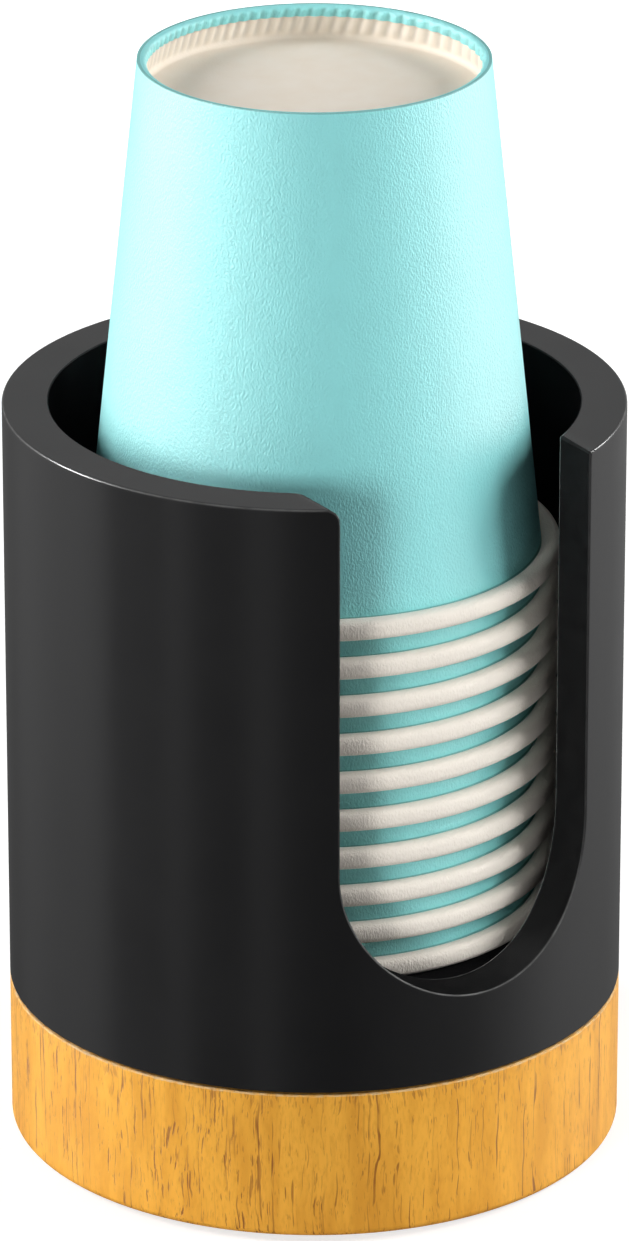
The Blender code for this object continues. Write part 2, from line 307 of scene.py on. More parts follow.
def new_piece(name, mesh, finish, body, slot, *nodes):
    """An object for a finished mesh, which rides on a body and stands for the nodes."""
    piece = new_object(name, mesh)
    mesh.materials.append(finish)
    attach(piece, body)
    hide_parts(*nodes)
    return piece


class Painter:
    """Adds nodes to a node tree. An input takes a plain value or another node's output."""

    def __init__(self, tree):
        self.tree = tree

    def feed(self, socket, value):
        if isinstance(value, bpy.types.NodeSocket):
            self.tree.links.new(value, socket)
        else:
            socket.default_value = value

    def node(self, kind, inputs, **settings):
        node = self.tree.nodes.new("ShaderNode" + kind)
        for name, value in settings.items():
            setattr(node, name, value)
        for name, value in inputs.items():
            self.feed(node.inputs[name], value)
        return node

    def ranged(self, value, low, high, start=0.0, end=1.0, kind="SMOOTHSTEP"):
        """start below low, end above high, and an even S between them, or a straight line if LINEAR."""
        inputs = {"Value": value, "From Min": low, "From Max": high, "To Min": start, "To Max": end}
        return self.node("MapRange", inputs, interpolation_type=kind).outputs[0]

    def maths(self, operation, *values):
        return self.node("Math", dict(enumerate(values)), operation=operation).outputs[0]

    def vectors(self, operation, inputs):
        """The outputs of a sum on vectors: a vector, and a number called Value."""
        return self.node("VectorMath", inputs, operation=operation).outputs

    def mixed(self, factor, first, second):
        """The first colour where factor is 0 and the second where it is 1."""
        node = self.node("Mix", {"Factor": factor}, data_type="RGBA")
        for place, value in ((6, first), (7, second)):
            self.feed(node.inputs[place], value if isinstance(value, bpy.types.NodeSocket) else (*value, 1.0))
        return node.outputs[2]


class Finish(Painter):
    """A material and the nodes that paint it. Patterns lie in the object's own coordinates and are sized in
    millimetres."""

    def __init__(self, name, roughness, gloss=0.5, metallic=0.0):
        self.material = bpy.data.materials.new(name)
        self.material.use_nodes = True
        super().__init__(self.material.node_tree)
        self.shader = self.tree.nodes["Principled BSDF"]
        self.place = self.node("TexCoord", {}).outputs["Object"]
        values = {"Roughness": roughness, "Specular IOR Level": gloss, "Metallic": metallic}
        for socket, value in values.items():
            self.shader.inputs[socket].default_value = value

    def wander(self, size, reach):
        """Shifts the coordinates of what follows by up to reach, in lumps of about size, so lines wander."""
        lumps = self.node("TexNoise", {"Vector": self.place, "Scale": 1.0 / (size * MM), "Detail": 1.0})
        shift = self.vectors("SUBTRACT", {0: lumps.outputs["Color"], 1: (0.5, 0.5, 0.5)})[0]
        inputs = {0: shift, 1: (2.0 * reach * MM, 2.0 * reach * MM, 0.0), 2: self.place}
        self.place = self.vectors("MULTIPLY_ADD", inputs)[0]

    def noise(self, size, detail=2.0, flat=1.0, shift=(0.0, 0.0, 0.0), roughness=0.5):
        """Cloudy noise with lumps about size across. A flat under 1 draws them out upwards."""
        inputs = {"Vector": self.place, "Scale": (1.0, 1.0, flat), "Location": shift}
        place = self.node("Mapping", inputs).outputs[0]
        inputs = {"Vector": place, "Scale": 1.0 / (size * MM), "Detail": detail, "Roughness": roughness}
        return self.node("TexNoise", inputs).outputs["Fac"]

    def layer(self, name):
        return self.node("Attribute", {}, attribute_name=name).outputs["Fac"]

    def bump(self, height, depth):
        """Raises the surface by height times depth."""
        inputs = {"Height": height, "Distance": depth * MM, "Strength": 1.0}
        self.paint("Normal", self.node("Bump", inputs).outputs[0])

    def paint(self, socket, value):
        self.tree.links.new(value, self.shader.inputs[socket])


def toned(colour, tone):
    """The colour times a tone, which is one number or one for each channel."""
    return np.minimum(1.0, np.array(colour) * tone).tolist()


def satin_black(holder):
    """Moulded satin black with a fine even texture, faint wear in its gloss, and a painted highlight along
    its edges.
    """
    finish = Finish("satin_black", holder.roughness)
    grain = finish.noise(0.25, 3.0)
    cloud = finish.noise(9, 2.0)
    black = finish.mixed(cloud, toned(holder.colour, 0.8), holder.colour)
    # Painted highlight: the pale colour along the edges that the edge_highlight layer marks, broken up by
    # noise
    highlight_share = finish.ranged(finish.noise(2.5, 3.0, shift=(0.4, 0.2, 0.7)), 0.30, 0.62, 0.55, 1.0)
    highlight_share = finish.maths("MULTIPLY", finish.layer("edge_highlight"), highlight_share)
    finish.paint("Base Color", finish.mixed(highlight_share, black, holder.edge_highlight))
    rough = finish.ranged(cloud, 0.3, 0.7, 0.92 * holder.roughness, 1.08 * holder.roughness)
    finish.paint("Roughness", finish.maths("MAXIMUM", rough, finish.layer("dull")))
    finish.bump(grain, 0.004)
    return finish.material


def slot_half(holder, outer, rim, corner):
    """Stations of one half of the wall's upper edge, from the slot's foot to the back of the rim.

    The slot is a half circle, a straight side and a round corner in the XZ plane, cut straight through along
    Y, so the same x lies on the outer and on the inner cylinder. Past the corner both edges follow the rim.
    Returns the outer angle, inner angle, height and edge normal (x, z), then the angles where the station's
    column ends at the foot of the outer wall and on the well's floor.
    """
    half = holder.slot_width / 2
    middle = LOWEST_MOUTH - holder.floor_gap + holder.slot_sill + half
    turn = np.radians(np.linspace(-90.0, 0.0, FOOT_POINTS, endpoint=False))
    side = np.linspace(middle, rim - corner, SIDE_POINTS, endpoint=False)
    bend = np.radians(np.linspace(180.0, 90.0, CORNER_POINTS))
    along = np.linspace(0.0, 1.0, RIM_POINTS + 1)[1:]
    still, flat = np.zeros(SIDE_POINTS), np.ones(RIM_POINTS)
    x = np.concatenate([half * np.cos(turn), still + half, half + corner + corner * np.cos(bend)])
    z = np.concatenate([middle + half * np.sin(turn), side, rim - corner + corner * np.sin(bend), rim * flat])
    normal_x = np.concatenate([-np.cos(turn), still - 1.0, np.cos(bend), 0.0 * flat])
    normal_z = np.concatenate([-np.sin(turn), still, np.sin(bend), flat])
    far = np.interp(along, [0.0, 0.45, 1.0], [0.0, 0.42, 1.0])
    angles, fans = [], []
    for radius in (outer, holder.well_radius):
        edge = np.arcsin(x / radius)
        angles.append(np.concatenate([edge, edge[-1] + (math.pi - edge[-1]) * along]))
        knots = np.radians([0.0, 4.0, 24.0, 26.0]) + np.array([0.0, 1.0, 1.0, 1.0]) * math.asin(half / radius)
        spans = zip(knots, knots[1:], (FOOT_POINTS, SIDE_POINTS, CORNER_POINTS))
        fan = [np.linspace(start, end, count, endpoint=False) for start, end, count in spans]
        fans.append(np.concatenate([*fan, knots[-1] + (math.pi - knots[-1]) * far]))
    return np.stack([*angles, z, normal_x, normal_z, *fans])


def wall_stations(holder, outer, rim):
    """Stations right round the wall's upper edge, from the back past the slot's left side and its foot."""
    left = slot_half(holder, outer, rim, holder.left_corner)
    right = slot_half(holder, outer, rim, holder.right_corner)
    left[[0, 1, 3, 5, 6]] *= -1.0
    return np.concatenate([left[:, :0:-1], right[:, :-1]], axis=1)


def rounded_edge(edge, first, second, radius, steps):
    """The round of an edge between faces with normals first and second.

    Its centre lies behind the edge by radius / (1 + first.second) times their sum, and each point is the
    centre plus radius times a normal that turns evenly from first to second. Returns points and normals.
    """
    dot = (first * second).sum(-1, keepdims=True)
    centre = edge - np.reshape(radius, (-1, 1)) * (first + second) / (1.0 + dot)
    between = np.arccos(np.clip(dot, -1.0, 1.0))
    t = np.linspace(0.0, 1.0, steps + 1)[:, None, None]
    normal = (np.sin((1.0 - t) * between) * first + np.sin(t * between) * second) / np.sin(between)
    return centre + np.reshape(radius, (-1, 1)) * normal, normal


def wall_between(start, end, radius, steps, outward):
    """Rows of a round wall between two edges: straight lines from start to end on the unrolled cylinder."""
    turn = [np.arctan2(edge[:, 0], -edge[:, 1]) for edge in (start, end)]
    turn[1] = turn[0] + (turn[1] - turn[0] + math.pi) % math.tau - math.pi
    t = np.linspace(0.0, 1.0, steps + 1)[:, None]
    turns = (1.0 - t) * turn[0] + t * turn[1]
    heights = (1.0 - t) * start[:, 2] + t * end[:, 2]
    return on_circle(radius, turns, heights), on_circle(outward, turns, 0.0)


def holder_body_surface(holder):
    """The holder body as one surface with a pole on its floor and a pole under it.

    Each column starts on the well's floor, climbs the inner wall, crosses the wall's upper edge at its own
    station, runs down the outer wall and goes in under the body. Returns what surface_mesh takes, with the
    layers edge_highlight, the share of painted highlight colour along the edges, and dull, the least
    roughness.
    """
    outer, rim, foot = HOLDER_HIGH.x, HOLDER_HIGH.z, HOLDER_LOW.z
    well, floor = holder.well_radius, LOWEST_MOUTH - holder.floor_gap
    turn_out, turn_in, z, normal_x, normal_z, fan_out, fan_in = wall_stations(holder, outer, rim)
    level, on_top = normal_z > LEVEL, z > rim - HAIR
    on_rim = smooth_step(0.0, 0.08, np.abs(turn_out) - math.radians(RIM_STARTS_AT)) * (level & on_top)
    inner_round, outer_round = (
        holder.slot_round + (rim_round - holder.slot_round) * on_rim
        for rim_round in (holder.rim_inner_round, holder.rim_outer_round)
    )
    across = np.stack([normal_x, 0.0 * z, normal_z], axis=1)
    down = np.tile([0.0, 0.0, -1.0], (len(z), 1))
    inner = rounded_edge(on_circle(well, turn_in, z), on_circle(-1.0, turn_in, 0.0), across, inner_round, 5)
    outside = on_circle(outer, turn_out, z), across, on_circle(1.0, turn_out, 0.0)
    outside = rounded_edge(*outside, outer_round, 5)
    low_edge = on_circle(outer, fan_out, foot), on_circle(1.0, fan_out, 0.0)
    low_edge = rounded_edge(*low_edge, down, holder.foot_round, 4)
    climb = wall_between(on_circle(well, fan_in, floor + TINY), inner[0][0], well, 20, -1.0)
    wall = wall_between(outside[0][-1], low_edge[0][0], outer, 26, 1.0)
    well_floor = on_circle((well - TINY) * np.linspace(0.04, 1.0, 8)[:, None], fan_in, floor)
    rows = [(well_floor, 0.0 * well_floor - down)]
    for (points, normals), shared in ((climb, 0), (inner, 1), (outside, 0), (wall, 1), (low_edge, 1)):
        rows.append((points[shared:], normals[shared:]))
    recess, ceiling = holder.recess_radius, foot + holder.recess_depth
    under = [(recess + TINY, foot), (recess, foot + TINY), (recess, ceiling - TINY), (recess - TINY, ceiling)]
    under += [(recess * inward, ceiling) for inward in (0.66, 0.33, 0.04)]
    for radius, height in under:
        normal = on_circle(-1.0, fan_out, 0.0) if radius == recess else down
        rows.append((on_circle(radius, fan_out, height)[None], normal[None]))
    points, normals = (np.concatenate(part) for part in zip(*rows))
    edge_highlight, dull = np.zeros((2, *points.shape[:2]))
    first_edge = len(well_floor) + len(climb[0]) - 1
    highlight_share, matt = (layer[first_edge:first_edge + 12] for layer in (edge_highlight, dull))
    half = holder.slot_width / 2
    # Painted highlight along the edges: full on the inner edge along the slot and faint on the rim, stronger
    # on the outer edge low in the slot and most on its left, and a faint painted brightening on the slot's
    # cut face between the edges
    low_down = smooth_step(floor + 0.9 * half, floor + 0.3 * half, z) * np.where(turn_out > 0.0, 0.6, 1.0)
    highlight_share[:6] = INNER_HIGHLIGHT[:, None] * (1.0 - 0.97 * on_rim)
    highlight_share[6:] = OUTER_HIGHLIGHT[:, None] * (0.045 + 0.09 * on_rim + 0.26 * low_down)
    highlight_share[5:7] = 0.018 * (1.0 - on_rim)
    matt[1:5] = DULL * on_top
    matt[:, (turn_out > 0.0) & (z > rim - holder.right_corner + HAIR) & ~level] = DULL
    poles = {"first": (0.0, 0.0, floor), "last": (0.0, 0.0, ceiling)}
    return {"points": points, "normals": normals, "layers": {"edge_highlight": edge_highlight, "dull": dull}, **poles}


class DISPENSER_OT_holder_body(bpy.types.Operator):
    """Build the slotted black holder body"""

    bl_idname = "dispenser.holder_body"
    bl_label = "Holder Body"

    def execute(self, context):
        holder = context.scene.dispenser_holder
        mesh = surface_mesh("holder_shell", **holder_body_surface(holder))
        new_piece("holder_shell", mesh, satin_black(holder), HOLDER, "body_black", "holder_body")
        return {"FINISHED"}


def grained_wood(base):
    """Golden wood: an amber figure, long thin lines that wander, short soft grain in clusters, and a fringe
    of fine grain under the top edge."""
    finish = Finish("grained_wood", 0.42, 0.30)
    figure = finish.noise(3.2, 3.0, 0.16)
    speckle = finish.noise(0.5, 3.0, 0.30)
    wood = finish.mixed(finish.ranged(figure, 0.35, 0.72, 0.0, 0.75), base.golden, base.amber)
    wood = finish.mixed(finish.ranged(speckle, 0.42, 0.75, 0.0, 0.5), wood, base.amber)
    patch = finish.ranged(finish.noise(8.0, 2.0, 0.6, (0.1, 0.4, 0.9)), 0.34, 0.56)
    side = finish.vectors("DOT_PRODUCT", {0: finish.place, 1: (-0.85, 0.53, 0.0)})["Value"]
    patch = finish.maths("MULTIPLY", patch, finish.ranged(side, -14.0 * MM, 8.0 * MM, 0.15, 1.0))
    finish.wander(7.0, 0.7)
    lines = finish.ranged(finish.noise(0.50, 1.0, 0.011, (0.7, 0.2, 0.5)), 0.645, 0.695)
    fine_lines = finish.ranged(finish.noise(0.36, 2.0, 0.026, (0.2, 0.9, 0.4)), 0.63, 0.71)
    dashes = finish.noise(0.42, 3.0, 0.070, (0.3, 0.1, 0.2), 0.6)
    dashes = finish.ranged(finish.maths("MULTIPLY_ADD", patch, 0.125, dashes), 0.695, 0.760)
    depth = finish.ranged(finish.noise(1.6, 2.0, 0.3, (0.2, 0.8, 0.3)), 0.35, 0.65, 0.45, 1.0)
    height = finish.node("SeparateXYZ", {"Vector": finish.place}).outputs["Z"]
    near_top = finish.ranged(height, base.top - 4.0 * MM, base.top)
    fringe = finish.noise(0.30, 2.0, 0.16, (0.5, 0.6, 0.1))
    fringe = finish.ranged(finish.maths("MULTIPLY_ADD", near_top, 0.11, fringe), 0.62, 0.72)
    streaks = dashes
    for layer, strength in ((lines, 0.95), (fine_lines, 0.45), (fringe, 0.6)):
        streaks = finish.maths("MAXIMUM", streaks, finish.maths("MULTIPLY", layer, strength))
    streaks = finish.maths("MULTIPLY", streaks, depth)
    wood = finish.mixed(finish.maths("MULTIPLY", streaks, 0.86), wood, base.streak)
    bare = finish.ranged(finish.noise(1.1, 3.0, shift=(0.6, 0.3, 0.1)), 0.36, 0.60, 0.25, 0.85)
    raw_edge = finish.layer("raw_edge")
    finish.paint("Base Color", finish.mixed(finish.maths("MULTIPLY", raw_edge, bare), wood, base.raw))
    finish.paint("Roughness", finish.maths("MAXIMUM", finish.ranged(streaks, 0.0, 1.0, 0.40, 0.62), raw_edge))
    finish.bump(finish.maths("MULTIPLY", streaks, -1.0), 0.03)
    return finish.material


def base_profile(base):
    """Rows (radius, height, bare, ragged) of the base, from the spigot's top over the seam and down."""
    outer, low, high, top = BASE_HIGH.x, BASE_LOW.z, BASE_HIGH.z, base.top
    spigot, edge, chip = base.spigot_radius, base.edge_round, base.chip
    crown = [(inward * spigot, high) for inward in (0.1, 0.5, 0.9)]
    crown += [(spigot - TINY, high), (spigot, high - TINY), (spigot, top + TINY), (spigot + TINY, top)]
    crown += [(outer - 3.0 * chip, top)]
    side = [*line((outer, top - 1.3 * chip), (outer, low + edge), 10)]
    side += [*arc((outer - edge, low + edge), edge, 0.0, -90.0, 8)]
    side += [(outer - edge - TINY, low), (0.5 * outer, low), (0.1 * outer, low)]
    crown, side = (np.pad(rows, ((0, 0), (0, 2))) for rows in (crown, side))
    raw = np.array(RAW_EDGE) * (-chip, -chip, 1.0, 1.0) + (outer, top, 0.0, 0.0)
    return np.concatenate([crown, raw, side])


def ragged(turn, reach):
    """An uneven edge round the base: a sum of sines whose beats don't repeat, between -reach and reach."""
    waves = np.array([37.0, 61.0, 97.0, 149.0, 211.0, 307.0])
    phases = np.array([0.3, 1.7, 2.9, 4.1, 5.3, 0.9])
    return reach * np.sin(waves[:, None] * turn + phases[:, None]).sum(axis=0) / 3.0


def bore_cutter(name, place, steps):
    """A stepped round cutter from under the base. steps is (radius, top) for each step, widest first."""
    rows = [(0.0, BASE_LOW.z - 1.0 * MM)]
    for radius, top in steps:
        rows += [(radius, rows[-1][1]), (radius, top)]
    rows.append((0.0, rows[-1][1]))
    profile = np.array(rows[::-1])
    turn = np.linspace(0.0, math.tau, 48, endpoint=False)
    return new_object(name, turned_mesh(name, profile[1:-1], turn, profile[[0, -1], 1], place))


def cut_from(piece, cutters):
    """Cuts the cutters from the piece, applies the cuts and removes the cutters."""
    for cutter in cutters:
        cut = piece.modifiers.new(cutter.name, "BOOLEAN")
        cut.solver = "EXACT"
        cut.object = cutter
    bpy.context.view_layer.update()
    graph = bpy.context.evaluated_depsgraph_get()
    mesh = bpy.data.meshes.new_from_object(piece.evaluated_get(graph))
    piece.modifiers.clear()
    piece.data = mesh
    for cutter in cutters:
        bpy.data.objects.remove(cutter)
    mesh.shade_smooth()
    mesh.set_sharp_from_angle(angle=math.radians(35.0))


class DISPENSER_OT_wood_base(bpy.types.Operator):
    """Build the grained wooden base"""

    bl_idname = "dispenser.wood_base"
    bl_label = "Wooden Base"

    def execute(self, context):
        base = context.scene.dispenser_base
        turn = np.linspace(-math.pi, math.pi, 720, endpoint=False)
        profile = base_profile(base)
        shift = (0.0, profile[:, 3:] * ragged(turn, 0.05 * MM))
        layers = {"raw_edge": profile[:, 2:3]}
        mesh = turned_mesh("base_turned", profile, turn, profile[[0, -1], 1], shift=shift, layers=layers)
        piece = new_piece("base_turned", mesh, grained_wood(base), HOLDER, "base_wood", "wood_base")
        cutters = []
        for foot in FEET:
            low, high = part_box(foot)
            radius = (high.x - low.x) / 2 + base.foot_gap
            steps = [(radius, high.z + base.foot_gap)]
            cutters.append(bore_cutter("recess_" + foot, (low + high) / 2, steps))
        for screw in SCREWS:
            low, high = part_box(screw)
            seat = low.z + context.scene.dispenser_fixings.head_height + base.foot_gap
            steps = [(base.screw_bore, seat), (base.shank_bore, BASE_HIGH.z + 1.0 * MM)]
            cutters.append(bore_cutter("bore_" + screw, (low + high) / 2, steps))
        cut_from(piece, cutters)
        return {"FINISHED"}


def cup_layers(cup):
    """Radii of the cup's layers at its closed end, as distances in from the sidewall's outer face."""
    across = cup.paper / math.cos(cup.wall_angle)
    skirt_outside = across + cup.layer_gap
    skirt_inside = skirt_outside + cup.board
    fold_outside = skirt_inside + cup.layer_gap
    return across, skirt_outside, skirt_inside, fold_outside, fold_outside + across


def wall_radius(cup, depth):
    """Radius of the sidewall's outer face at a depth below the closed end."""
    return cup.base_radius + math.tan(cup.wall_angle) * depth


def wall_point(cup, height, depth, layer):
    """Radius and height of the point at a depth below the closed end, layer in from the outer face."""
    return wall_radius(cup, depth) - layer, height - depth


def crimp(cup, turn, depth):
    """How far the crimped ribs stand in, and how deep in a groove a point lies, at an angle and a depth below
    the closed end. The depth in a groove is what the paper and the board paint as shade.

    Round the cup the ribs are (1/2 - cos(phase)/2)^0.6, which is broad on top with narrower grooves between.
    They lean by rib_lean, and rib_drift crowds them on one side. They grow over the fold, run down the skirt
    and fade before the bottom.
    """
    leaned = turn - math.tan(cup.rib_lean) * depth / cup.base_radius
    phase = cup.rib_count * leaned + cup.rib_drift * np.sin(leaned - RIB_CROWDED_AT)
    grow = smooth_step(0.1 * MM, 0.7 * MM, depth)
    fade = smooth_step(cup.recess - 0.25 * MM, cup.recess - 1.6 * MM, depth)
    ridge = (0.5 - 0.5 * np.cos(phase)) ** 0.6
    return -cup.rib_depth * ridge * (grow * fade), smooth_step(0.85, 0.05, ridge) * (grow * fade)


def flattened_roll(centre, radius, start, end, steps):
    """Points of the rolled lip's outline: an arc whose outer half is pressed flat.

    It is the curve |x/radius|^n + |y/radius|^n = 1, with n = 2, a circle, inside and n = 2.8 outside.
    """
    turn = np.radians(np.linspace(start, end, steps + 1))
    across, up = np.cos(turn), np.sin(turn)
    power = 2.0 + 0.8 * smooth_step(-0.15, 0.35, across)
    reach = radius * (np.abs(across) ** power + np.abs(up) ** power) ** (-1.0 / power)
    return np.stack([centre[0] + reach * across, centre[1] + reach * up], axis=1)


def sidewall_profile(cup, height):
    """Rows (radius, height over the mouth, printed, dark line and shade, outer face) of the sidewall's closed
    outline.

    It runs up the fold's inner face, over the crest, down the outer face into the crevice over the lip, round
    the roll, up the inner face and back down between the folded layers.
    """
    across, _, _, fold_outside, fold_inside = cup_layers(cup)
    at = partial(wall_point, cup, height)
    roll, fold = cup.roll, cup.fold
    brim, crest, edge = 0.4 * MM, 0.06 * MM, 0.06 * MM
    crevice, shade = height - 1.36 * roll, height - 1.83 * roll
    inner, outer = at(brim, fold_inside)[0], at(0.0, cup.crease_width)[0]
    bend = np.radians(np.linspace(180.0, 90.0, 7))
    curve = np.stack([outer + (outer - inner) * np.cos(bend), height - brim * (1.0 - np.sin(bend))], axis=1)
    wall_x, wall_z = at(crevice, 0.0)
    lip = (at(height - roll, across)[0] + roll, roll)
    parts = (
        (line(at(fold - edge, fold_inside), at(brim, fold_inside), 7), 1, 0, 0),
        (curve, 1, 0, 0),
        # Painted dark line along the crest
        ((outer + 0.04 * MM, height), 1, 1, 0),
        (arc((wall_radius(cup, crest) - crest, height - crest), crest, 90.0, -6.0, 4), 1, 1, 0),
        (at(0.09 * MM, 0.0), 1, 1, 0.5),
        (at(0.13 * MM, 0.0), 1, 0, 1),
        (line(at(0.5 * MM, 0.0), at(shade - 1.5 * MM, 0.0), 14), 1, 0, 1),
        (line(at(shade - 1.5 * MM, 0.0), at(shade, 0.0), 3), 1, 0, 1),
        (at(shade, 0.0), 1, 0, 1),
        # Painted shade in the crevice over the lip, on the outer face and the curl's cut edge
        ((at(shade + 0.05 * MM, 0.0), at(crevice, 0.0)), 1, 1, 1),
        (((wall_x + 0.05 * MM, wall_z - 0.04 * MM), (wall_x + 0.10 * MM, wall_z)), 0, 1, 0),
        (flattened_roll(lip, roll, 138.0, -174.0, 32), 0, 0, 0),
        (line(at(height - 1.35 * roll, across), at(0.4 * MM, across), 8), 0, 0, 0),
        ((at(0.28 * MM, across + 0.06 * MM), at(0.28 * MM, fold_outside - 0.05 * MM)), 0, 0, 0),
        (line(at(0.34 * MM, fold_outside), at(fold - edge, fold_outside), 4), 0, 0, 0),
        ((at(fold - edge, fold_outside), at(fold, fold_outside + edge)), 0, 0, 0),
        ((at(fold, fold_inside - edge), at(fold - 0.5 * edge, fold_inside - 0.2 * edge)), 0, 0, 0),
    )
    rows = [(np.reshape(points, (-1, 2)), tags) for points, *tags in parts]
    return np.concatenate([np.hstack([points, np.tile(tags, (len(points), 1))]) for points, tags in rows])


def seam_shift(cup, turn, seam):
    """The side seam's overlap: a sharp step at one edge that dies away evenly over the seam's width."""
    behind = (turn - seam) % math.tau
    return cup.seam_step * np.clip(1.0 - behind / cup.seam_width, 0.0, 1.0)


def cup_turns(cup, seam):
    """Column angles round a cup, six to a rib, with two more that keep the seam's step sharp."""
    even = np.arange(6 * cup.rib_count) * math.tau / (6 * cup.rib_count)
    step = math.radians(0.05)
    return np.sort(np.concatenate([even, np.array([seam - step, seam + step]) % math.tau]))


def cup_sidewall_mesh(name, cup, mouth, height, seam):
    """The sidewall: its outline turned, with ribs on the fold and the seam's step on the outer face."""
    profile = sidewall_profile(cup, height)
    turn = cup_turns(cup, seam)
    depth = height - profile[:, 1:2]
    on_fold = (profile[:, :1] < wall_radius(cup, depth) - 0.5 * MM) & (depth < cup.fold + 0.1 * MM)
    # The second part of crimp is the painted shade in the grooves; the profile's fourth column is the painted
    # dark line along the crest and the painted shade over the lip
    ribs, groove_shade = (on_fold * part for part in crimp(cup, turn, depth))
    step = profile[:, 4:5] * seam_shift(cup, turn, seam)
    layers = {"printed": profile[:, 2:3], "dark_line_and_shade": profile[:, 3:4], "groove_shade": groove_shade}
    return turned_mesh(name, profile, turn, shift=(ribs + step, mouth), ring=True, layers=layers)


def cup_bottom_mesh(name, cup, mouth, height):
    """The bottom: a slightly hollow disc that bends up into a skirt with crimped ribs, turned about Z."""
    _, outside, inside, _, _ = cup_layers(cup)
    at = partial(wall_point, cup, height)
    recess, board, bend, round_off = cup.recess, cup.board, 0.8 * MM, 0.04 * MM
    top = cup.paper + cup.layer_gap
    reach = at(recess - bend, inside)[0] - bend
    inward = np.array([0.05, 0.3, 0.6, 0.85])
    disc = np.stack([inward * reach, height - recess - 0.06 * MM * (1.0 - inward ** 2)], axis=1)
    skirt = [
        arc((reach, height - recess + bend), bend, -90.0, 4.0, 8),
        line(at(recess - 1.2 * bend, inside), at(top + 2.0 * round_off, inside), 9),
    ]
    rest = [
        (at(top + round_off, inside), at(top, inside + TINY)),
        (at(top, outside - TINY), at(top + round_off, outside)),
        line(at(2.0 * top, outside), at(recess - 0.2 * MM, outside), 4),
        arc((at(recess, outside)[0] - 0.3 * MM, height - recess), board, 6.0, -90.0, 5),
        disc[::-1] - (0.0, board),
    ]
    profile = np.concatenate([disc, *skirt, *rest])
    turn = cup_turns(cup, 0.0)
    on_skirt = np.zeros((len(profile), 1))
    on_skirt[len(disc):len(disc) + sum(len(part) for part in skirt)] = 1.0
    # The second part of crimp is the painted shade in the grooves between the skirt's ribs
    ribs, groove_shade = (on_skirt * part for part in crimp(cup, turn, height - profile[:, 1:2]))
    ends = mouth + profile[[0, -1], 1]
    return turned_mesh(name, profile, turn, ends, shift=(ribs, mouth), layers={"groove_shade": groove_shade})


def cup_paper(cup):
    """Fibrous paper: aqua print outside and over the fold, bare cream on the lip and inside, with a painted
    dark line along the crest and painted shade in the crevice over the lip and in the ribs' grooves.
    """
    finish = Finish("cup_paper", 0.6, 0.42)
    fibre = finish.noise(0.27, 2.0, 0.6)
    cloud = finish.noise(3.0, 2.0, 0.5)
    printed = finish.layer("printed")
    aqua = finish.mixed(cloud, toned(cup.aqua, 0.95), toned(cup.aqua, 1.03))
    # Painted shade in the grooves between the ribs, then the painted dark line along the crest and the
    # painted shade over the lip
    for shaded in (finish.maths("MULTIPLY", finish.layer("groove_shade"), 0.6), finish.layer("dark_line_and_shade")):
        aqua = finish.mixed(shaded, aqua, cup.dark_line_and_shade)
    cream = finish.mixed(cloud, toned(cup.cream, 0.95), cup.cream)
    finish.paint("Base Color", finish.mixed(printed, cream, aqua))
    finish.paint("Roughness", finish.ranged(printed, 0.0, 1.0, 0.85, 0.6))
    finish.bump(fibre, 0.13)
    return finish.material


def cup_board(cup):
    """Bare cream board, with painted shade in the grooves between the skirt's ribs."""
    finish = Finish("cup_board", 0.65, 0.3)
    fibre = finish.noise(0.30, 3.0)
    cream = finish.mixed(finish.noise(4.0, 2.0), toned(cup.cream, (0.95, 0.91, 0.86)), cup.cream)
    # Painted shade in the grooves between the ribs
    shaded = finish.maths("MULTIPLY", finish.layer("groove_shade"), 0.5)
    finish.paint("Base Color", finish.mixed(shaded, cream, toned(cup.cream, 0.62)))
    finish.bump(fibre, 0.03)
    return finish.material


class DISPENSER_OT_paper_cups(bpy.types.Operator):
    """Build the nested paper cups"""

    bl_idname = "dispenser.paper_cups"
    bl_label = "Paper Cups"

    def execute(self, context):
        settings = context.scene.dispenser_cups
        paper, board = cup_paper(settings), cup_board(settings)
        for number, cup in enumerate(CUPS):
            low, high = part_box(cup + "_sidewall")
            seam = math.pi + math.radians(17.0) * math.sin(2.4 * number)
            sidewall = cup_sidewall_mesh(cup + "_paper", settings, low.z, high.z - low.z, seam)
            new_piece(cup + "_paper", sidewall, paper, cup, "cup_paper", cup + "_sidewall")
            bottom = cup_bottom_mesh(cup + "_board", settings, low.z, high.z - low.z)
            new_piece(cup + "_board", bottom, board, cup, "cup_board", cup + "_bottom")
        return {"FINISHED"}


def cross_recess(screw, radius, turn):
    """Depth of a cross recess at a radius and an angle: two straight arms with sloping ends and walls."""
    x, y = radius * np.cos(turn), radius * np.sin(turn)
    arms = []
    for across, along in ((x, y), (y, x)):
        wall = smooth_step(0.5 * screw.cross_width + 0.12 * MM, 0.5 * screw.cross_width, np.abs(across))
        end = smooth_step(screw.cross_reach, 0.45 * screw.cross_reach, np.abs(along))
        arms.append(wall * end)
    return screw.cross_depth * np.maximum(*arms)


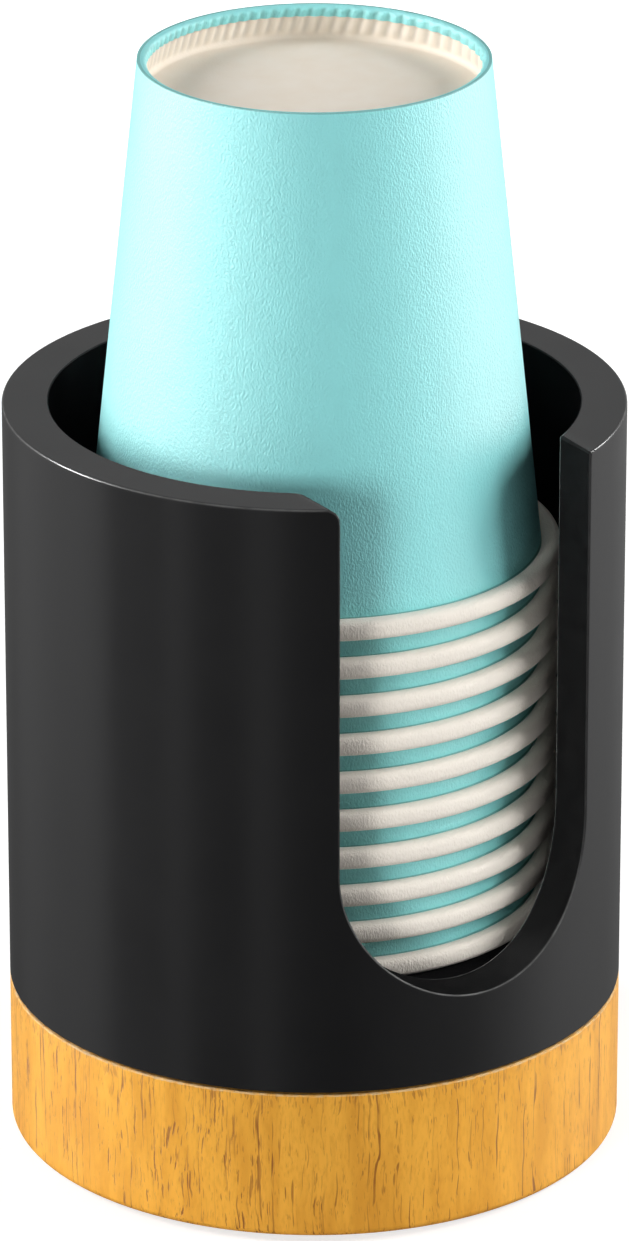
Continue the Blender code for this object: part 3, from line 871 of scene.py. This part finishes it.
def screw_mesh(name, screw, low, high):
    """A pan-head screw, head down: its outline turned, with the cross recess pressed into the crown."""
    head, shank, flank = (high.x - low.x) / 2, screw.shank_radius, 0.9 * MM
    seat, drop = low.z + screw.head_height, screw.head_height - flank
    rows = [(0.25 * shank, high.z - 0.3 * MM), (shank, high.z - 2.0 * MM), (shank, seat + 0.2 * MM)]
    rows += [(shank + 0.2 * MM, seat), (head - 0.1 * MM, seat), (head, seat - 0.1 * MM), (head, seat - flank)]
    dome = np.radians([8.0, 17.0, 26.0, 35.0])
    rows += zip(head * np.cos(dome), seat - flank - drop * np.sin(dome))
    inward = np.linspace(0.60, 0.02, 26)
    crown = np.stack([inward * head, low.z + drop * (1.0 - np.sqrt(1.0 - (0.9 * inward) ** 2))], axis=1)
    profile = np.concatenate([rows, crown])
    turn = np.linspace(0.0, math.tau, 96, endpoint=False)
    on_crown = np.arange(len(profile))[:, None] >= len(rows)
    rise = on_crown * cross_recess(screw, profile[:, :1], turn)
    ends = (high.z, low.z + screw.cross_depth)
    return turned_mesh(name, profile, turn, ends, (low + high) / 2, (0.0, rise))


def foot_mesh(name, low, high):
    """A round rubber foot with a rolled lower edge and a shallow dimple, turned about Z."""
    radius, top = (high.x - low.x) / 2, high.z
    edge = 0.5 * MM
    rows = [(0.5 * radius, top), (radius - 0.1 * MM, top), (radius, top - 0.1 * MM)]
    rows += list(arc((radius - edge, edge), edge, 0.0, -90.0, 7))
    rows += [(0.55 * radius, 0.0), (0.45 * radius, 0.05 * MM)]
    rows += [(0.35 * radius, 0.16 * MM), (0.1 * radius, 0.2 * MM)]
    turn = np.linspace(0.0, math.tau, 64, endpoint=False)
    return turned_mesh(name, np.array(rows), turn, (top, 0.2 * MM), (low + high) / 2)


class DISPENSER_OT_fixings(bpy.types.Operator):
    """Build the base screws and the rubber feet"""

    bl_idname = "dispenser.fixings"
    bl_label = "Screws and Feet"

    def execute(self, context):
        settings = context.scene.dispenser_fixings
        zinc = Finish("zinc_plate", 0.34, metallic=1.0)
        cloud = zinc.noise(0.5, 3.0)
        zinc.paint("Base Color", zinc.mixed(cloud, toned(settings.zinc, 0.8), settings.zinc))
        zinc.bump(cloud, 0.01)
        rubber = Finish("foot_rubber", 0.8, 0.3)
        cloud = rubber.noise(0.4, 3.0)
        rubber.paint("Base Color", rubber.mixed(cloud, settings.rubber, toned(settings.rubber, 1.6)))
        rubber.bump(cloud, 0.02)
        for screw in SCREWS:
            mesh = screw_mesh(screw + "_turned", settings, *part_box(screw))
            new_piece(screw + "_turned", mesh, zinc.material, HOLDER, "screw_steel", screw)
        for foot in FEET:
            mesh = foot_mesh(foot + "_moulded", *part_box(foot))
            new_piece(foot + "_moulded", mesh, rubber.material, HOLDER, "foot_rubber", foot)
        return {"FINISHED"}


def direction(azimuth, elevation):
    """The way from the middle towards an azimuth, measured from -Y towards +X, and an elevation."""
    flat = math.cos(elevation)
    return Vector((math.sin(azimuth) * flat, -math.cos(azimuth) * flat, math.sin(elevation)))


def aim(obj, place, target):
    obj.location = place
    obj.rotation_euler = (target - place).to_track_quat("-Z", "Y").to_euler()


# The lamps: degrees round from the camera, positive to the right, distance, height, size, the setting that
# holds the power and the lamp's share of it, whether only gloss sees the lamp, and what it is linked to
LAMPS = {
    "lamp_left": (-85.0, 0.70, 0.48, (0.34, 0.34), "side_power", 0.93, False, None),
    "lamp_right": (85.0, 0.70, 0.48, (0.48, 0.40), "side_power", 1.05, False, None),
    "lamp_key": (-25.5, 0.9, 0.22, (0.22, 0.30), "key_power", 1.0, False, None),
    "edge_left": (-100.0, 0.75, 0.48, (0.26, 0.10), "edge_power", 1.0, True, None),
    "edge_right": (126.0, 0.8, 0.32, (0.08, 0.24), "edge_power", 0.15, True, None),
    "lamp_top": (180.0, 0.38, 0.84, (0.45, 0.45), "top_power", 1.0, False, None),
    "gloss_left": (-91.0, 0.8, 0.17, (0.42, 0.42), "gloss_power", 1.0, True, "soft_gloss"),
    "gloss_right": (101.0, 0.8, 0.17, (0.42, 0.42), "gloss_power", 1.0, True, "soft_gloss"),
    "gloss_front": (-50.0, 0.8, 0.17, (0.42, 0.42), "gloss_power", 0.3, True, "cup_gloss"),
    "base_left": (-110.0, 0.75, 0.2, (0.34, 0.34), "base_power", 1.5 / 2.2, False, "base_light"),
    "base_right": (100.0, 0.75, 0.2, (0.34, 0.34), "base_power", 1.0, False, "base_light"),
}


def soft_lamp(name, stage, target, receivers):
    """The rectangular lamp that LAMPS describes, facing the target."""
    degrees, distance, height, size, source, part, gloss_only, linked = LAMPS[name]
    lamp = bpy.data.lights.new(name, "AREA")
    lamp.shape = "RECTANGLE"
    lamp.size, lamp.size_y = size
    lamp.energy = part * getattr(stage, source)
    obj = new_object(name, lamp)
    obj.visible_camera = False
    obj.visible_glossy = gloss_only
    obj.visible_diffuse = not gloss_only
    place = distance * direction(stage.azimuth + math.radians(degrees), 0.0)
    place.z = height
    aim(obj, place, target)
    if linked:
        obj.light_linking.receiver_collection = receivers[linked]


# What gloss mirrors of the studio: degrees round from the camera, positive to the right, and the level
STUDIO_LEVELS = (
    (-180, 0.15), (-150, 0.15), (-130, 0.40), (-105, 0.60), (-98, 0.72), (-84, 0.80), (-80, 0.30),
    (-75, 0.30), (-70, 0.42), (-59, 0.26), (-54, 0.62), (-49, 0.56), (-44, 0.22), (-27, 0.18),
    (-22, 0.45), (-17, 0.52), (-10, 0.16), (10, 0.10), (60, 0.35), (92, 0.90), (102, 0.95), (124, 0.62),
    (142, 0.35), (155, 0.28), (180, 0.15),
)
# The level over the horizon, and what the levels below it are multiplied by: start under the height low on a
# unit sphere, end over high, and a straight line between them
UPPER_LEVEL = 0.42
LOWER_FADE = {"low": -0.47, "high": -0.29, "start": 0.28, "end": 1.60}


def room_light(stage):
    """White to the camera, a dim even light to the object, and to its gloss a studio that is dark in front
    and paler towards the sides."""
    world = bpy.data.worlds.new("studio")
    bpy.context.scene.world = world
    world.use_nodes = True
    painter = Painter(world.node_tree)
    painter.tree.nodes.clear()
    place = painter.node("TexCoord", {}).outputs["Generated"]
    turn = (0.0, 0.0, math.radians(90.0) - stage.azimuth)
    turned = painter.node("Mapping", {"Vector": place, "Rotation": turn}).outputs[0]
    round_about = painter.node("TexGradient", {"Vector": turned}, gradient_type="RADIAL").outputs["Fac"]
    ramp = painter.node("ValToRGB", {"Fac": round_about})
    elements = ramp.color_ramp.elements
    while len(elements) < len(STUDIO_LEVELS):
        elements.new(0.5)
    for element, (degrees, level) in zip(elements, STUDIO_LEVELS):
        element.position = (degrees + 180.0) / 360.0
        element.color = (level, level, level, 1.0)
    height = painter.node("SeparateXYZ", {0: place}).outputs["Z"]
    fade = painter.ranged(height, **LOWER_FADE, kind="LINEAR")
    faded = painter.vectors("SCALE", {0: ramp.outputs["Color"], "Scale": fade})[0]
    studio = painter.mixed(painter.ranged(height, 0.0, 0.25), faded, (UPPER_LEVEL,) * 3)
    shader = painter.node("Background", {"Color": (*(stage.room,) * 3, 1.0)}).outputs[0]
    rays = painter.node("LightPath", {}).outputs
    for ray, seen in (("Is Glossy Ray", studio), ("Is Camera Ray", (1.0, 1.0, 1.0, 1.0))):
        background = painter.node("Background", {"Color": seen}).outputs[0]
        shader = painter.node("MixShader", {"Fac": rays[ray], 1: shader, 2: background}).outputs[0]
    painter.node("OutputWorld", {"Surface": shader})


def floor_finish(stage):
    """Pale and plain. The camera sees part of it as plain white, so its shadow stays faint, and all of it
    away from the object."""
    finish = Finish("pale_floor", 1.0, 0.0)
    finish.shader.inputs["Base Color"].default_value = (*(stage.floor,) * 3, 1.0)
    finish.shader.inputs["Emission Color"].default_value = (1.0, 1.0, 1.0, 1.0)
    rays = finish.node("LightPath", {}).outputs
    away = finish.vectors("LENGTH", {0: finish.place})["Value"]
    glow = finish.maths("MULTIPLY", rays["Is Camera Ray"], finish.ranged(away, 0.12, 0.5, 0.70, 1.0))
    finish.paint("Emission Strength", glow)
    clear = finish.node("BsdfTransparent", {}).outputs[0]
    mix = finish.node("MixShader", {"Fac": rays["Is Glossy Ray"], 1: finish.shader.outputs[0], 2: clear})
    finish.feed(finish.tree.nodes["Material Output"].inputs["Surface"], mix.outputs[0])
    return finish.material


class DISPENSER_OT_stage(bpy.types.Operator):
    """Set up the floor, the lamps and the camera"""

    bl_idname = "dispenser.stage"
    bl_label = "Stage"

    def execute(self, context):
        stage = context.scene.dispenser_stage
        target = Vector((0.0, 0.0, stage.target))
        corners = [(-2.0, -2.0, 0.0), (2.0, -2.0, 0.0), (2.0, 2.0, 0.0), (-2.0, 2.0, 0.0)]
        mesh = bpy.data.meshes.new("floor")
        mesh.from_pydata(corners, [], [(0, 1, 2, 3)])
        mesh.materials.append(floor_finish(stage))
        floor = new_object("floor", mesh)
        papers = [bpy.data.objects[cup + "_paper"] for cup in CUPS]
        base = [bpy.data.objects["base_turned"]]
        receivers = {}
        for name, pieces in (("soft_gloss", base + papers), ("cup_gloss", papers), ("base_light", base)):
            receivers[name] = bpy.data.collections.new(name)
            for piece in pieces:
                receivers[name].objects.link(piece)
        for piece in papers + [bpy.data.objects[cup + "_board"] for cup in CUPS]:
            piece.visible_glossy = False
        for name in LAMPS:
            soft_lamp(name, stage, target, receivers)
        room_light(stage)
        camera = new_object("camera", bpy.data.cameras.new("camera"))
        camera.data.lens = stage.lens
        camera.data.clip_end = 10.0
        aim(camera, target + stage.distance * direction(stage.azimuth, stage.elevation), target)
        context.scene.camera = camera
        context.scene.view_settings.view_transform = "Standard"
        return {"FINISHED"}


class DISPENSER_PT_sidebar(bpy.types.Panel):
    """Lists the dispenser's pieces and their settings"""

    bl_idname = "DISPENSER_PT_sidebar"
    bl_label = "Cup Dispenser"
    bl_space_type = "VIEW_3D"
    bl_region_type = "UI"
    bl_category = "Cup Dispenser"

    def draw(self, context):
        for step, settings, group in STEPS:
            box = self.layout.box()
            box.operator(step.bl_idname)
            for name in group.__annotations__:
                box.prop(getattr(context.scene, settings), name)


STEPS = (
    (DISPENSER_OT_holder_body, "dispenser_holder", HolderSettings),
    (DISPENSER_OT_wood_base, "dispenser_base", BaseSettings),
    (DISPENSER_OT_paper_cups, "dispenser_cups", CupSettings),
    (DISPENSER_OT_fixings, "dispenser_fixings", FixingSettings),
    (DISPENSER_OT_stage, "dispenser_stage", StageSettings),
)
CLASSES = (*(group for _, _, group in STEPS), *(step for step, _, _ in STEPS), DISPENSER_PT_sidebar)


def register():
    for cls in CLASSES:
        bpy.utils.register_class(cls)
    for _, name, group in STEPS:
        setattr(bpy.types.Scene, name, PointerProperty(type=group))


def unregister():
    for _, name, _ in STEPS:
        delattr(bpy.types.Scene, name)
    for cls in reversed(CLASSES):
        bpy.utils.unregister_class(cls)


def main():
    register()
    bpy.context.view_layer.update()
    bpy.ops.dispenser.holder_body()
    bpy.ops.dispenser.wood_base()
    bpy.ops.dispenser.paper_cups()
    bpy.ops.dispenser.fixings()
    bpy.ops.dispenser.stage()


if __name__ == "__main__":
    main()
